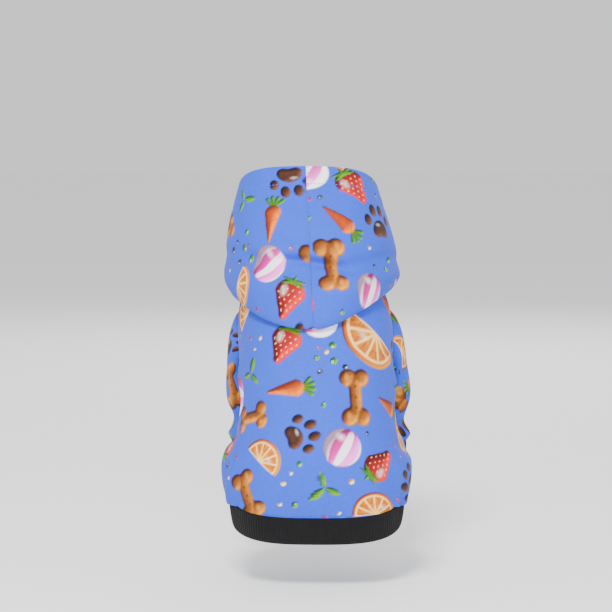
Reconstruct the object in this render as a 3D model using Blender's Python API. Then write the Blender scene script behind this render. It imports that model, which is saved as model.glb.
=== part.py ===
"""A dog hoodie, shown as it stands on a sitting dog and hollow where the dog goes in.

The frame is in metres. +Z is up, +Y is the way the dog faces and +X is its right-hand side,
so the back of the garment faces -Y. The origin is the middle of the neck seam.

The body is a tube round the dog: a back panel and a belly panel that meet at two side seams,
with an armhole on each seam. A sleeve and a cuff hang from each armhole, and a ribbed band
closes the waist. The hood is two halves, mirrored at the centre seam. It lies down: from the
neck seam its cloth hangs over the back, turns up at the pouch's fold and rises to the hemmed
edge round the neck.
"""

import math

import bpy
import numpy as np

# Body, in metres. Lengths along the back follow the cloth, from the waistband seam to the neck seam.
BACK_LENGTH = 0.333
CHEST_WIDTH = 0.178
CHEST_DEPTH = 0.198
BLOUSE_DROP = 0.022  # the cloth puffs out and down over the waistband at the flanks
BLOUSE_OUT = 0.008

# Armholes, on the side seams
SIDE_SEAM_ANGLE = 118.0  # degrees round from the middle of the back
ARMHOLE_PLACE = 0.775  # share of the back length
ARMHOLE_LENGTH = 0.112
ARMHOLE_WIDTH = 0.084

# Sleeves hang straight down beside the chest
SLEEVE_OUT = 0.0710  # middle of the sleeve's end from the garment's middle
SLEEVE_FORWARD = 0.061  # middle of the sleeve's end ahead of the neck seam's middle
SLEEVE_DROP = 0.206  # sleeve's end below the neck seam's middle
SLEEVE_END_WIDTH = 0.074
SLEEVE_FULLNESS = 0.028  # how far the sleeve head stands out before it falls
UNDERARM_FULLNESS = 0.018
UNDERARM_CLEARANCE = 0.0012  # the sleeve stands this far off the body before it turns down
SLEEVE_STRAIGHT = 0.38  # share of its length over which it falls straight into the cuff
SLEEVE_FOLDS_FADE = (0.18, 0.05)  # shares of its length over which its folds start and end
CUFF_HEIGHT = 0.026
CUFF_TAPER = 0.90
CUFF_TURN = 0.35  # share of its height over which it narrows

# Waistband
WAISTBAND_HEIGHT = 0.035
WAISTBAND_TAPER = 0.975

# Hood
HOOD_HANG = 0.104  # pouch below the neck seam, at the middle of the back
HOOD_RIM_WIDTH = 0.170
HOOD_RIM_DEPTH = 0.176
HOOD_RISE = 0.101  # rim above the neck seam, at the sides
HOOD_RIM_BACK = 0.0165  # how far the rim sits back from the neck seam
HOOD_HEM = 0.026  # turned and stitched edge
HOOD_TWIST = 5.0  # degrees that the pouch has slipped round to the left
POUCH_FOLD = 0.0062  # radius of the fold at the pouch's lower edge
POUCH_DROOP = 0.9  # share of that radius by which the cloth under it sags
POUCH_PLACE = 0.93  # where the fold lies, as a share of the hang
POUCH_SIDES = 0.08  # hang at the sides, as a share of the hang at the back
HOOD_BULGE = 0.019
HOOD_SLANT = 0.05  # its crease runs down to the right, by this share of the height
RIM_SQUARENESS = 2.8
RIM_NAPE_DIP = 0.10  # shares of HOOD_RISE
RIM_THROAT_DIP = 0.62
THROAT_START = 112.0  # degrees round from the middle of the back, where the rim starts to dip
UPRIGHT_START = 80.0  # the hood lies down behind this angle, and stands up ahead of the next
UPRIGHT_END = 150.0

# The neck leans to the dog's left, and takes the hood with it
LEAN_SHIFT = 0.012
LEAN_DEPTH = 0.14  # the lean starts this far below the neck seam
LEAN_POWER = 1.3

# Cloth
FLEECE = 0.0020
RIB_KNIT = 0.0024
SEAM_GAP = 0.0004
HOOD_CLEARANCE = 0.0014  # air between the hood's under layer and the back

# Each row is a ring of the body. Widths and depths are shares of the chest's. Squareness 2 is an ellipse.
BODY_SECTIONS = {
    "along": (0.00, 0.06, 0.12, 0.18, 0.25, 0.34, 0.48, 0.63, 0.78, 0.90, 1.00),
    "lean": (108.0, 105.0, 100.0, 94.0, 86.0, 77.0, 67.0, 62.0, 59.5, 59.0, 60.0),
    "width": (1.157, 1.160, 1.160, 1.140, 1.045, 0.990, 0.985, 0.990, 1.000, 0.945, 0.820),
    "depth": (0.910, 0.935, 0.945, 0.945, 0.945, 0.945, 0.955, 0.985, 1.000, 0.910, 0.750),
    "slope": (16.0, 14.5, 12.0, 8.5, 4.0, -1.5, -8.5, -15.0, -22.0, -28.0, -33.0),
    "squareness": (3.0, 2.8, 2.6, 2.45, 2.35, 2.3, 2.25, 2.2, 2.2, 2.2, 2.2),
}

# The puff over the waistband, from the seam round its lower fold. Shares of BLOUSE_OUT and BLOUSE_DROP.
BLOUSE = {
    "along": (0.000, 0.008, 0.018, 0.030, 0.045, 0.070, 0.110, 0.200),
    "out": (0.00, 0.30, 0.55, 0.78, 0.96, 1.17, 1.05, 0.30),
    "drop": (0.00, 0.21, 0.59, 0.84, 0.82, 0.65, 0.30, 0.00),
}

# Rows of the hood from the neck seam to the rim. Under the pouch, down is a share of its hang.
HOOD_UNDER = {
    "down": (0.00, 0.30, 0.62, 0.90, 1.00),
    "front_share": (0.00, 0.07, 0.14, 0.21, 0.28),
}
HOOD_OUTER = {
    "up": (0.045, 0.140, 0.290, 0.400, 0.580, 0.800, 1.000),
    "back_bulge": (0.40, 0.80, 0.56, 0.98, 1.00, 0.58, 0.00),
    "side_bulge": (0.30, 0.48, 0.42, 0.50, 0.40, 0.16, 0.00),
    "front_share": (0.35, 0.46, 0.56, 0.64, 0.74, 0.88, 1.00),
}

# Folds of each sleeve: how far down, and how deep as a share of the sleeve's end width.
SLEEVE_FOLDS = {
    "down": (0.18, 0.46, 0.70, 0.86, 0.95),
    "left": (0.000, 0.020, 0.045, -0.055, 0.050),
    "right": (0.000, -0.010, 0.040, -0.045, 0.060),
}

ROWS_BELOW_ARMHOLE = 7
ROWS_AT_ARMHOLE = 12
ROWS_ABOVE_ARMHOLE = 4
BACK_COLUMNS = 26
BELLY_COLUMNS = 14
SLEEVE_ROWS = 10
RING_COLUMNS = 40
HOOD_COLUMNS = 14


def smooth(places, values, at):
    """A smooth curve through the points (places, values), read at `at`."""
    places, values = np.asarray(places, float), np.asarray(values, float)
    slopes = np.gradient(values, places)
    index = np.clip(np.searchsorted(places, at) - 1, 0, len(places) - 2)
    width = places[index + 1] - places[index]
    t = (np.asarray(at, float) - places[index]) / width
    return (
        values[index] * (1 + 2 * t) * (1 - t) ** 2
        + values[index + 1] * t * t * (3 - 2 * t)
        + width * t * (1 - t) * (slopes[index] * (1 - t) - slopes[index + 1] * t)
    )


def section(name, along):
    return smooth(BODY_SECTIONS["along"], BODY_SECTIONS[name], along)


def unit(vectors):
    return vectors / np.linalg.norm(vectors, axis=-1, keepdims=True)


def back_line(along):
    """Y and Z of the middle of the back, found by walking up it from the waistband seam."""
    steps = np.linspace(0, 1, 401)
    lean = np.radians(section("lean", steps))
    middle = (lean[1:] + lean[:-1]) / 2
    step = BACK_LENGTH / (len(steps) - 1)
    y = np.concatenate([[0], np.cumsum(np.cos(middle) * step)])
    z = np.concatenate([[0], np.cumsum(np.sin(middle) * step)])
    return np.interp(along, steps, y), np.interp(along, steps, z)


def ring_middle(along):
    """Y and Z of a ring's middle, and of the half ring from its middle to the back."""
    y, z = back_line(along)
    slope = np.radians(section("slope", along))
    half = section("depth", along) * CHEST_DEPTH / 2
    return y + half * np.cos(slope), z + half * np.sin(slope), half * np.cos(slope), half * np.sin(slope)


NECK_Y, NECK_Z = (float(value) for value in ring_middle(1.0)[:2])
NECK_SLOPE = math.radians(BODY_SECTIONS["slope"][-1])
TO_FRONT = np.array([0.0, math.cos(NECK_SLOPE), math.sin(NECK_SLOPE)])
UP_NECK = np.array([0.0, -math.sin(NECK_SLOPE), math.cos(NECK_SLOPE)])


def squared(value, squareness):
    """A sine or cosine pushed outwards, which makes an ellipse boxier."""
    return np.sign(value) * np.abs(value) ** (2 / squareness)


def body_point(angle, along):
    """A point of the body's outer face. angle is in radians from the middle of the back."""
    angle, along = np.broadcast_arrays(np.asarray(angle, float), np.asarray(along, float))
    middle_y, middle_z, half_y, half_z = ring_middle(along)
    squareness = section("squareness", along)
    flank = np.abs(np.sin(angle)) ** np.where(np.cos(angle) > 0, 5, 14)
    puffed = np.clip(along, 0, BLOUSE["along"][-1])
    out = flank * BLOUSE_OUT * smooth(BLOUSE["along"], BLOUSE["out"], puffed)
    drop = flank * BLOUSE_DROP * smooth(BLOUSE["along"], BLOUSE["drop"], puffed)
    x = (section("width", along) * CHEST_WIDTH / 2 + out) * squared(np.sin(angle), squareness)
    y = middle_y - half_y * squared(np.cos(angle), squareness)
    z = middle_z - half_z * squared(np.cos(angle), squareness) - drop
    return np.stack([x, y - NECK_Y, z - NECK_Z], axis=-1)


def body_normal(angle, along):
    """Outward direction of the body's surface."""
    d = 1e-4
    along = np.clip(np.asarray(along, float), d, 1 - d)
    round_it = body_point(angle + d, along) - body_point(angle - d, along)
    up_it = body_point(angle, along + d) - body_point(angle, along - d)
    return unit(np.cross(round_it, up_it))


def lean(points):
    """The neck's lean: everything above its start shifts to -X, more and more."""
    points = np.array(points, float)
    share = np.clip((points[..., 2] + LEAN_DEPTH) / (HOOD_RISE + LEAN_DEPTH), 0, None)
    points[..., 0] -= LEAN_SHIFT * share**LEAN_POWER
    return points


def rib_black():
    return cloth_material("rib knit, black", (0.028, 0.028, 0.029, 1), 0.92)


def fleece_blue():
    return cloth_material("brushed fleece, blue", (0.168, 0.318, 0.745, 1), 0.85)


def cloth_material(name, colour, roughness):
    material = bpy.data.materials.get(name)
    if material:
        return material
    material = bpy.data.materials.new(name)
    material.use_nodes = True
    shader = material.node_tree.nodes["Principled BSDF"]
    shader.inputs["Base Color"].default_value = colour
    shader.inputs["Roughness"].default_value = roughness
    shader.inputs["Metallic"].default_value = 0.0
    return material


def grid_normals(grid, closed):
    """Outward direction at each point of a grid, from its neighbours."""
    up_it = np.gradient(grid, axis=0)
    if closed:
        round_it = np.roll(grid, -1, axis=1) - np.roll(grid, 1, axis=1)
    else:
        round_it = np.gradient(grid, axis=1)
    return unit(np.cross(round_it, up_it))


def cloth(name, grid, wall, material, closed=False, normals=None):
    """A closed shell: the outer face is the grid, and the inner face lies one wall behind it."""
    outer = lean(grid)
    if normals is None:
        normals = grid_normals(outer, closed)
    inner = outer - normals * wall
    rows, columns = grid.shape[:2]
    index = np.arange(rows * columns).reshape(rows, columns)
    if closed:
        index = np.concatenate([index, index[:, :1]], axis=1)
    behind = index + rows * columns
    first, last = [index[0], behind[0]], [behind[-1], index[-1]]
    bands = [index, behind[::-1], np.array(first)[::-1], np.array(last)[::-1]]
    if not closed:
        bands.append(np.array([behind[:, 0], index[:, 0]]).T)
        bands.append(np.array([index[:, -1], behind[:, -1]]).T)
    faces = [
        np.stack([b[:-1, :-1], b[:-1, 1:], b[1:, 1:], b[1:, :-1]], axis=-1).reshape(-1, 4) for b in bands
    ]
    mesh = bpy.data.meshes.new(name)
    points = np.concatenate([outer.reshape(-1, 3), inner.reshape(-1, 3)])
    mesh.from_pydata(points.tolist(), [], np.concatenate(faces).tolist())
    mesh.materials.append(material)
    mesh.shade_smooth()
    mesh.set_sharp_from_angle(angle=math.radians(50))
    obj = bpy.data.objects.new(name, mesh)
    bpy.context.scene.collection.objects.link(obj)
    return obj


def armhole_half(along):
    """Half the armhole's width at a place along the back, in metres; 0 beyond its ends."""
    t = (along - ARMHOLE_PLACE) * BACK_LENGTH / (ARMHOLE_LENGTH / 2)
    return ARMHOLE_WIDTH / 2 * np.sqrt(np.clip(1 - t * t, 0, None))


def chest_radius():
    """Turns a length round the chest into an angle."""
    return (CHEST_WIDTH + CHEST_DEPTH) / 4


def panel_rows():
    """Rows of both panels. They crowd at the blouse's fold and at both ends of the armhole."""
    half = ARMHOLE_LENGTH / 2 / BACK_LENGTH
    start, end = ARMHOLE_PLACE - half, ARMHOLE_PLACE + half
    turn = np.linspace(0, math.pi, ROWS_AT_ARMHOLE + 1)
    low = np.linspace(BLOUSE["along"][-1], start, ROWS_BELOW_ARMHOLE + 1)
    high = np.linspace(end, 1, ROWS_ABOVE_ARMHOLE + 1)
    return np.concatenate([BLOUSE["along"][:-1], low[:-1], ARMHOLE_PLACE - half * np.cos(turn), high[1:]])


def back_panel():
    along = panel_rows()
    edge = math.radians(SIDE_SEAM_ANGLE) - (armhole_half(along) + SEAM_GAP / 2) / chest_radius()
    angle = edge[:, None] * np.linspace(-1, 1, BACK_COLUMNS + 1)
    along = along[:, None]
    cloth("back_panel", body_point(angle, along), FLEECE, fleece_blue(), normals=body_normal(angle, along))


def belly_panel():
    along = panel_rows()
    edge = math.radians(SIDE_SEAM_ANGLE) + (armhole_half(along) + SEAM_GAP / 2) / chest_radius()
    angle = math.pi + (math.pi - edge[:, None]) * np.linspace(-1, 1, BELLY_COLUMNS + 1)
    along = along[:, None]
    cloth("belly_panel", body_point(angle, along), FLEECE, fleece_blue(), normals=body_normal(angle, along))


def armhole_ring(side):
    """The sleeve's root, just inside the armhole's edge. It starts at the back and runs headward."""
    turn = np.linspace(0, 2 * math.pi, 2 * ROWS_AT_ARMHOLE + 1)[:-1]
    half_along = (ARMHOLE_LENGTH / 2 - SEAM_GAP) / BACK_LENGTH
    half_angle = (ARMHOLE_WIDTH / 2 - SEAM_GAP / 2) / chest_radius()
    along = ARMHOLE_PLACE + half_along * np.sin(turn)
    angle = math.radians(SIDE_SEAM_ANGLE) - half_angle * np.cos(turn)
    out = body_normal(angle, along)
    root = body_point(angle, along) - out * FLEECE
    return turn, root * (side, 1, 1), out * (side, 1, 1)


def sleeve_end(turn, side, width, drop):
    """A level ring round the sleeve's axis. Turn 0 is its outer side and a quarter turn its front."""
    ring = np.stack([side * np.cos(turn), np.sin(turn), np.zeros_like(turn)], axis=-1)
    return ring * width / 2 + (side * SLEEVE_OUT, SLEEVE_FORWARD, -drop)


def sleeve(name, side):
    """Each line of the sleeve leaves the armhole outwards and bends down to the cuff seam."""
    turn, root, out = armhole_ring(side)
    end = sleeve_end(turn, side, SLEEVE_END_WIDTH, SLEEVE_DROP)
    outside = root + out * (FLEECE + UNDERARM_CLEARANCE)
    length = np.linalg.norm(end - outside, axis=-1, keepdims=True)
    high = (0.5 + 0.5 * np.sin(turn))[:, None]
    fullness = UNDERARM_FULLNESS + (SLEEVE_FULLNESS - UNDERARM_FULLNESS) * high
    first = outside + unit(out - (0, 0, 0.5) * high) * fullness
    last = end + np.array((0, 0, 1.0)) * SLEEVE_STRAIGHT * length
    t = np.linspace(0, 1, SLEEVE_ROWS + 1)[:, None, None]
    grid = (1 - t) ** 3 * outside + 3 * (1 - t) ** 2 * t * first + 3 * (1 - t) * t * t * last + t**3 * end
    axis = grid.mean(axis=1, keepdims=True)
    places = SLEEVE_FOLDS["down"]
    depth = smooth(places, SLEEVE_FOLDS[name.split("_")[1]], np.clip(t, places[0], places[-1]))
    start, stop = SLEEVE_FOLDS_FADE
    fade = np.clip(t / start, 0, 1) * np.clip((1 - t) / stop, 0, 1)
    grid = grid + unit(grid - axis) * depth * fade * SLEEVE_END_WIDTH
    grid = np.concatenate([root[None], grid])
    grid = grid[:, ::-1] if side > 0 else grid
    normals = grid_normals(grid, True)
    normals[-1:] = level_ends(normals[-1:])
    cloth(name, grid, FLEECE, fleece_blue(), closed=True, normals=normals)


def level_ends(normals):
    """The first and last rows face level, so that a wall meets the next piece at a level seam."""
    normals = normals.copy()
    normals[(0, -1), :, 2] = 0
    return unit(normals)


def cuff(name, side):
    turn = np.linspace(0, 2 * math.pi, 2 * ROWS_AT_ARMHOLE + 1)[:-1]
    rows = []
    for share in (0.0, CUFF_TURN, 1.0):
        narrow = 1 - (1 - CUFF_TAPER) * min(1, share / CUFF_TURN)
        drop = SLEEVE_DROP + SEAM_GAP + share * CUFF_HEIGHT
        rows.append(sleeve_end(turn, side, SLEEVE_END_WIDTH * narrow, drop))
    grid = np.array(rows)
    grid = grid[:, ::-1] if side > 0 else grid
    cloth(name, grid, RIB_KNIT, rib_black(), closed=True, normals=level_ends(grid_normals(grid, True)))


def waistband():
    """Follows the body's lowest ring, and draws in towards its lower edge."""
    angle = np.linspace(0, 2 * math.pi, RING_COLUMNS + 1)[:-1]
    top = body_point(angle, 0.0)
    middle = (body_point(0.0, 0.0) + body_point(math.pi, 0.0)) / 2
    slope = math.radians(BODY_SECTIONS["slope"][0])
    down = np.array([0.0, math.sin(slope), -math.cos(slope)])
    share = np.linspace(0, 1, 4)[:, None, None]
    narrow = 1 - (1 - WAISTBAND_TAPER) * share
    grid = middle + (top - middle) * narrow + down * (SEAM_GAP + share * WAISTBAND_HEIGHT)
    cloth("waistband", grid[::-1], RIB_KNIT, rib_black(), closed=True)


def hood_rim(angle):
    """The rim is highest beside the neck, a little lower at the nape, and dips to the throat."""
    throat = np.clip((np.degrees(angle) - THROAT_START) / (180 - THROAT_START), 0, 1)
    nape = np.cos(angle / 2) ** 6
    rise = HOOD_RISE * (1 - RIM_NAPE_DIP * nape - RIM_THROAT_DIP * throat**1.6)
    back = squared(np.cos(angle), RIM_SQUARENESS)
    forward = -HOOD_RIM_DEPTH / 2 * back - HOOD_RIM_BACK * (1 - throat)
    x = HOOD_RIM_WIDTH / 2 * squared(np.sin(angle), RIM_SQUARENESS)
    return x[:, None] * (1, 0, 0) + forward[:, None] * TO_FRONT + rise[:, None] * UP_NECK


def hood_lines(angle, side):
    """Points down the hood for each angle: along the back, round the fold and up to the rim."""
    rim = hood_rim(angle)
    seam = body_point(angle, 1.0)
    twisted = angle + side * math.radians(HOOD_TWIST)
    lies = np.clip((UPRIGHT_END - np.degrees(angle)) / (UPRIGHT_END - UPRIGHT_START), 0, 1)
    lies = (lies * lies * (3 - 2 * lies))[:, None]
    at_back = (0.5 + 0.5 * np.cos(twisted)) ** 3
    hang = HOOD_HANG * ((1 - POUCH_SIDES) * at_back + POUCH_SIDES * lies[:, 0])
    upright = seam + UP_NECK * SEAM_GAP
    rows = []
    for down, share in zip(HOOD_UNDER["down"], HOOD_UNDER["front_share"]):
        along = 1 - down * hang / BACK_LENGTH
        off = SEAM_GAP + (HOOD_CLEARANCE - SEAM_GAP) * min(1, down / 0.3)
        if down == 1.0:
            off = HOOD_CLEARANCE + POUCH_FOLD
        lying = body_point(angle, along) + body_normal(angle, along) * off
        if down == 1.0:
            lying = lying - UP_NECK * POUCH_FOLD * POUCH_DROOP
        rows.append((lying, upright + (rim - upright) * share))
    fold_along = 1 - POUCH_PLACE * hang / BACK_LENGTH
    out = body_normal(angle, fold_along)
    fold = body_point(angle, fold_along) + out * (HOOD_CLEARANCE + 2 * POUCH_FOLD)
    chord = rim - fold
    away = out - chord * (np.sum(out * chord, axis=1) / np.sum(chord**2, axis=1))[:, None]
    at_side = (np.sin(angle) ** 2)[:, None]
    for up, back, flank, share in zip(*HOOD_OUTER.values()):
        bulge = (back + (flank - back) * at_side) * HOOD_BULGE
        slant = 4 * up * (1 - up) * HOOD_SLANT * side * np.sin(angle)[:, None]
        lying = fold + chord * (up - slant) + unit(away) * bulge
        rows.append((lying, upright + (rim - upright) * share))
    return np.array([front + (lying - front) * lies for lying, front in rows])


def in_seam_plane(directions):
    """Directions along the two seams, the first and last columns, have no sideways part."""
    directions = directions.copy()
    directions[..., (0, -1), 0] = 0
    return unit(directions)


def hood_grid(angle, side, per_span):
    """A smooth curve down each line, then the rim's turned hem inside it."""
    lines = hood_lines(angle, side)
    spans = np.arange(len(lines))
    at = np.concatenate([np.linspace(i, i + 1, n, endpoint=False) for i, n in enumerate(per_span)])
    at = np.append(at, spans[-1])
    columns = [smooth(spans, lines[:, c, k], at) for c in range(len(angle)) for k in range(3)]
    grid = np.array(columns).reshape(len(angle), 3, len(at)).transpose(2, 0, 1)
    radius = FLEECE + SEAM_GAP
    up = in_seam_plane(grid[-1] - grid[-2])
    inward = in_seam_plane(-np.cross(np.gradient(grid[-1], axis=0), up))
    centre = grid[-1] + inward * radius
    turn = np.radians((45, 90, 135, 180))[:, None, None]
    hem = centre - inward * radius * np.cos(turn) + up * radius * np.sin(turn)
    lower = centre + inward * radius - up * HOOD_HEM
    return np.concatenate([grid, hem, lower[None]])


def hood_half(name, side):
    angle = np.linspace(0, math.pi, HOOD_COLUMNS + 1)
    per_span = (1, 1, 1, 2, 2, 2, 2, 2, 2, 2, 3)
    grid = hood_grid(angle, side, per_span) * (side, 1, 1)
    grid[..., 0] += side * SEAM_GAP / 2
    grid = grid if side > 0 else grid[:, ::-1]
    cloth(name, grid, FLEECE, fleece_blue(), normals=in_seam_plane(grid_normals(lean(grid), False)))


def clear_scene():
    for obj in list(bpy.data.objects):
        bpy.data.objects.remove(obj)


clear_scene()
back_panel()
belly_panel()
waistband()
for side_name, side_sign in (("left", -1), ("right", 1)):
    sleeve(f"sleeve_{side_name}", side_sign)
    cuff(f"cuff_{side_name}", side_sign)
    hood_half(f"hood_{side_name}", side_sign)
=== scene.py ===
"""Dog hoodie: the fine cloth, ribbing, stitching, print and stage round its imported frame.

The file is laid out as a Blender add-on and is run as a script. Each piece is worked out with numpy
as a grid of points: a smooth form, then folds and seams raised or sunk along its normals.
The print is a colour for each point, painted from its place on the flat cloth.
"""

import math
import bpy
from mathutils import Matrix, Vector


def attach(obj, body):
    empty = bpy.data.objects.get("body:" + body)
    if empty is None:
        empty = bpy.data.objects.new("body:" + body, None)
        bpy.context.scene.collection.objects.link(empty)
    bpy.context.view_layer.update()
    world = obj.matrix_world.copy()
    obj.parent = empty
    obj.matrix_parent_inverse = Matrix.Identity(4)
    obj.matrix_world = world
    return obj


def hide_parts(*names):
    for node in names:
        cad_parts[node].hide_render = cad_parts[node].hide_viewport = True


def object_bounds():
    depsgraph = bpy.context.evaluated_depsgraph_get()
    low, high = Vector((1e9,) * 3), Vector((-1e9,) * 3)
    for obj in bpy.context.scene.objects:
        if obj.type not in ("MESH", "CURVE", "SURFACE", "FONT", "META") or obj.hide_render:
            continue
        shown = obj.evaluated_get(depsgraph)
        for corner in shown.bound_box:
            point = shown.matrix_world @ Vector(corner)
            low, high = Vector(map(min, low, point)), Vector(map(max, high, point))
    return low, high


bl_info = {
    "name": "Dog Hoodie",
    "version": (1, 0, 0),
    "blender": (4, 5, 0),
    "location": "View3D > Sidebar > Hoodie",
    "description": "Builds the cloth, ribbing, stitching, print and stage of a worn dog hoodie",
    "category": "Add Mesh",
}

import bpy
import numpy as np
from mathutils import Vector

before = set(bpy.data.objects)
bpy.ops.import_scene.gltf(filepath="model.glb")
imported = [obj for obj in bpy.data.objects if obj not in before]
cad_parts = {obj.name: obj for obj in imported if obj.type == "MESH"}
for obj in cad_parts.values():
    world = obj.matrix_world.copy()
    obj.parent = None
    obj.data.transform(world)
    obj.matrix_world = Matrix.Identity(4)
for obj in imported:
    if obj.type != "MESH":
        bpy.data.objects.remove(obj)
CAD_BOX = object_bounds()

# The worn form in metres and degrees, as the solids have it. Three values differ from theirs:
# SEAM_GAP is narrower, BLOUSE is rounder, and the sleeves' folds fade over a little more of their ends.
BACK_LENGTH = 0.333
CHEST_WIDTH = 0.178
CHEST_DEPTH = 0.198
BLOUSE_DROP = 0.022
BLOUSE_OUT = 0.008
SIDE_SEAM_ANGLE = 118.0
ARMHOLE_PLACE = 0.775
ARMHOLE_LENGTH = 0.112
ARMHOLE_WIDTH = 0.084
SLEEVE_OUT = 0.0710
SLEEVE_FORWARD = 0.061
SLEEVE_DROP = 0.206
SLEEVE_END_WIDTH = 0.074
SLEEVE_FULLNESS = 0.028
UNDERARM_FULLNESS = 0.018
UNDERARM_CLEARANCE = 0.0012
SLEEVE_STRAIGHT = 0.38
SLEEVE_FOLDS_FADE = (0.18, 0.06)
CUFF_HEIGHT = 0.026
CUFF_TAPER = 0.90
WAISTBAND_HEIGHT = 0.035
WAISTBAND_TAPER = 0.975
HOOD_HANG = 0.104
HOOD_RIM_WIDTH = 0.170
HOOD_RIM_DEPTH = 0.176
HOOD_RISE = 0.101
HOOD_RIM_BACK = 0.0165
HOOD_HEM = 0.026
HOOD_TWIST = 5.0
POUCH_FOLD = 0.0062
POUCH_DROOP = 0.9
POUCH_PLACE = 0.93
POUCH_SIDES = 0.08
HOOD_BULGE = 0.019
HOOD_SLANT = 0.05
RIM_SQUARENESS = 2.8
RIM_NAPE_DIP = 0.10
RIM_THROAT_DIP = 0.62
THROAT_START = 112.0
UPRIGHT_START = 80.0
UPRIGHT_END = 150.0
LEAN_SHIFT = 0.012
LEAN_DEPTH = 0.14
LEAN_POWER = 1.3
FLEECE = 0.0020
RIB_KNIT = 0.0024
SEAM_GAP = 0.0001
HOOD_CLEARANCE = 0.0014

BODY_SECTIONS = {
    "along": (0.00, 0.06, 0.12, 0.18, 0.25, 0.34, 0.48, 0.63, 0.78, 0.90, 1.00),
    "lean": (108.0, 105.0, 100.0, 94.0, 86.0, 77.0, 67.0, 62.0, 59.5, 59.0, 60.0),
    "width": (1.157, 1.160, 1.160, 1.140, 1.045, 0.990, 0.985, 0.990, 1.000, 0.945, 0.820),
    "depth": (0.910, 0.935, 0.945, 0.945, 0.945, 0.945, 0.955, 0.985, 1.000, 0.910, 0.750),
    "slope": (16.0, 14.5, 12.0, 8.5, 4.0, -1.5, -8.5, -15.0, -22.0, -28.0, -33.0),
    "squareness": (3.0, 2.8, 2.6, 2.45, 2.35, 2.3, 2.25, 2.2, 2.2, 2.2, 2.2),
}
BLOUSE = {
    "along": (0.000, 0.008, 0.018, 0.030, 0.045, 0.070, 0.110, 0.200),
    "out": (0.00, 0.05, 0.12, 0.25, 0.46, 0.84, 1.14, 0.42),
    "drop": (0.00, 0.22, 0.60, 0.84, 0.82, 0.64, 0.30, 0.00),
}
HOOD_UNDER = {
    "down": (0.00, 0.30, 0.62, 0.90, 1.00),
    "front_share": (0.00, 0.07, 0.14, 0.21, 0.28),
}
HOOD_OUTER = {
    "up": (0.045, 0.140, 0.290, 0.400, 0.580, 0.800, 1.000),
    "back_bulge": (0.40, 0.80, 0.56, 0.98, 1.00, 0.58, 0.00),
    "side_bulge": (0.30, 0.48, 0.42, 0.50, 0.40, 0.16, 0.00),
    "front_share": (0.35, 0.46, 0.56, 0.64, 0.74, 0.88, 1.00),
}
SLEEVE_FOLDS = {
    "down": (0.18, 0.46, 0.70, 0.86, 0.95),
    "left": (0.000, 0.020, 0.045, -0.055, 0.050),
    "right": (0.000, -0.010, 0.040, -0.045, 0.060),
}

# What the scene adds, in metres. Gathers are pairs of pitch and reach.
BODY_GATHERS = (0.019, 0.020)
SLEEVE_GATHERS = (0.016, 0.012)
SLEEVE_RINGS = {"waves": 34, "place": 0.86, "reach": 0.16, "height": 0.0011}  # bunched above the cuff
TUCK_HEIGHT = (0.012, 0.030)  # above the waistband, the wall thins up to this, and over this
TUCK_FLANK = (0.45, 0.35)  # and round the body, past this sine, and over this
TUCK_DEPTH = 0.8  # by this share of the wall
CUFF_SHARE = 0.985  # width of the cuff at its seam, as a share of the sleeve's end
BAND_FULLNESS = 0.0011  # how far ribbing puffs out halfway down
RIB_END = 0.004  # the ridges fade in over this height
HEM_SLACK = 0.0004  # added to the radius of the rim's turned hem
UNDER_LAYER = 0.245  # from the rim down to where the hood's under layer starts
HOOD_FOLDS_END = math.pi / 10  # from the centre seam round to where its folds end
RIM_MEASURE = (0.09, 0.06)  # past this, and over this, the hood's print is measured along its rim
STITCH_SPACING = 0.0042
STITCH_LENGTH = 0.0030
STITCH_RADIUS = 0.00042

# Points of the grids. Rows of the panels lie below, at and above the armhole.
BACK_ROWS, BACK_COLUMNS = (165, 90, 30), 301
BELLY_ROWS, BELLY_COLUMNS = (110, 60, 20), 151
SLEEVE_ROWS, SLEEVE_COLUMNS = 148, 200
HOOD_SPANS, HOOD_COLUMNS = (14, 14, 12, 8, 12, 16, 24, 18, 26, 30, 28), 261
COARSE_STEP = 5  # the cloth's reverse has every fifth point
VALLEY_REACH = 6  # and passes under the lowest point within this many
RIB_POINTS = 8

# Folds of the cloth. Across and down are places on the flat cloth, in metres; turn is in degrees.
BACK_FOLDS = {
    "across": (-0.148, 0.150, -0.160, 0.158, -0.118, 0.120, -0.060, 0.066),
    "down": (0.165, 0.172, 0.236, 0.250, 0.292, 0.296, 0.262, 0.275),
    "turn": (-40.0, 38.0, -14.0, 12.0, -62.0, 60.0, -80.0, 84.0),
    "length": (0.050, 0.052, 0.045, 0.050, 0.034, 0.034, 0.040, 0.040),
    "width": (0.0095, 0.0100, 0.0085, 0.0090, 0.0080, 0.0080, 0.0120, 0.0130),
    "height": (0.0030, 0.0028, -0.0032, -0.0036, 0.0026, 0.0026, 0.0016, 0.0017),
}
HOOD_FOLDS = {
    "across": (0.004, 0.002, 0.074, -0.078, 0.050, -0.020, 0.030),
    "down": (0.119, 0.131, 0.124, 0.116, 0.060, 0.170, 0.185),
    "turn": (7.0, 8.0, -20.0, 34.0, -70.0, 62.0, -38.0),
    "length": (0.050, 0.044, 0.040, 0.040, 0.060, 0.034, 0.040),
    "width": (0.0115, 0.0052, 0.0100, 0.0095, 0.0160, 0.0120, 0.0130),
    "height": (0.0054, -0.0068, -0.0030, -0.0034, 0.0018, 0.0020, 0.0022),
}

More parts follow.
